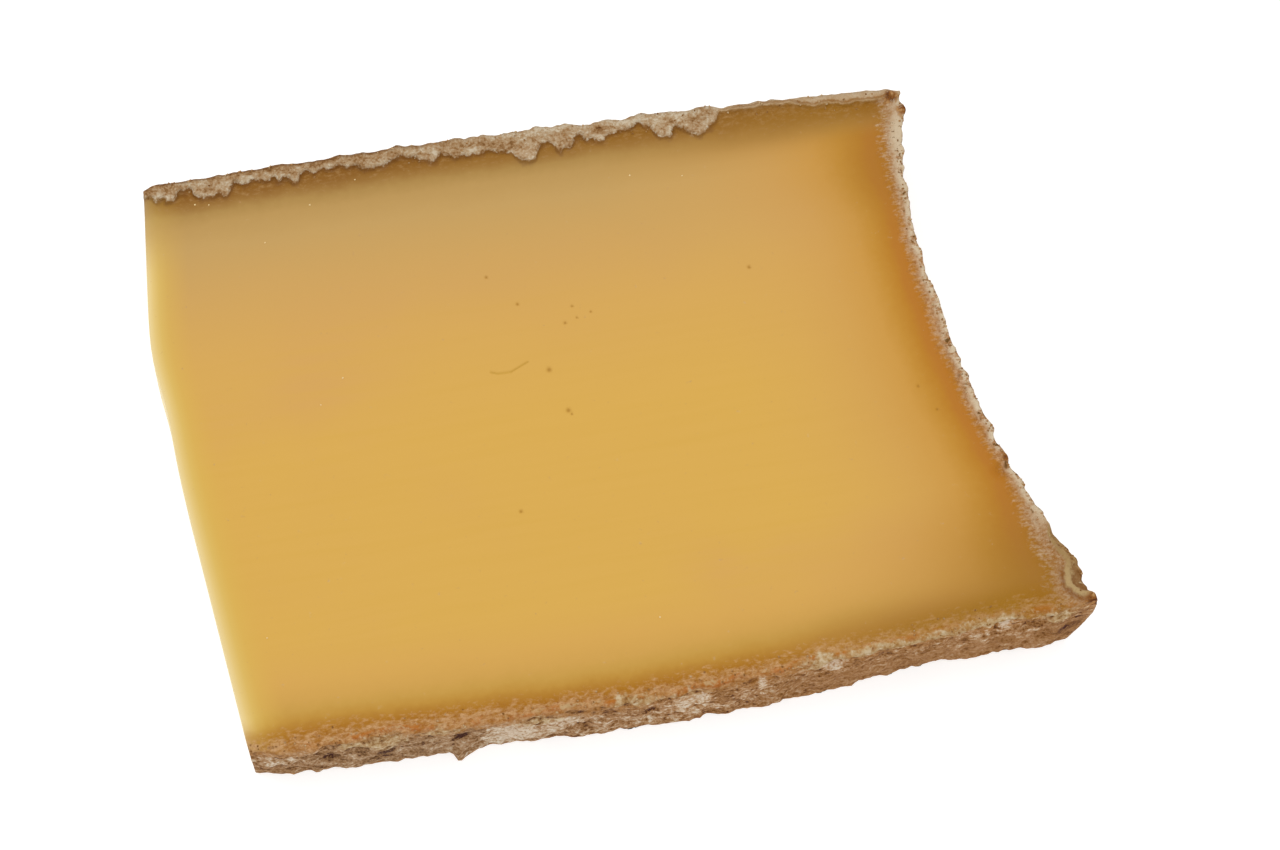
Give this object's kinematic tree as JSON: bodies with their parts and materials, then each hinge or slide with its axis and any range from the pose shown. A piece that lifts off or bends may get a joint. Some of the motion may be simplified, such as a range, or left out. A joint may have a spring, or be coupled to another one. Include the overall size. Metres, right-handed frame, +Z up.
{
  "type": "beaufort cheese slice",
  "caption": "Thick slab cut from a pressed mountain cheese wheel, lying on a cut face, with brown crusty rind at front, back and hollow heel.",
  "frame": {"origin": "under the middle of the slice's bounding box, in the plane of the cut face that it lies on", "axes": "+X from the inner cut, which has no rind, to the heel of the wheel; +Y along the wheel's axis, from the front rind to the back rind; +Z up, from the cut face it lies on to the one that shows"},
  "size_m": [0.1904, 0.136, 0.0235],
  "materials": {
    "cheese": "satin yellow paste with a dry, brown, rough rind"
  },
  "bodies": {
    "root": {"cheese_slice": "cheese"}
  },
  "joints": []
}
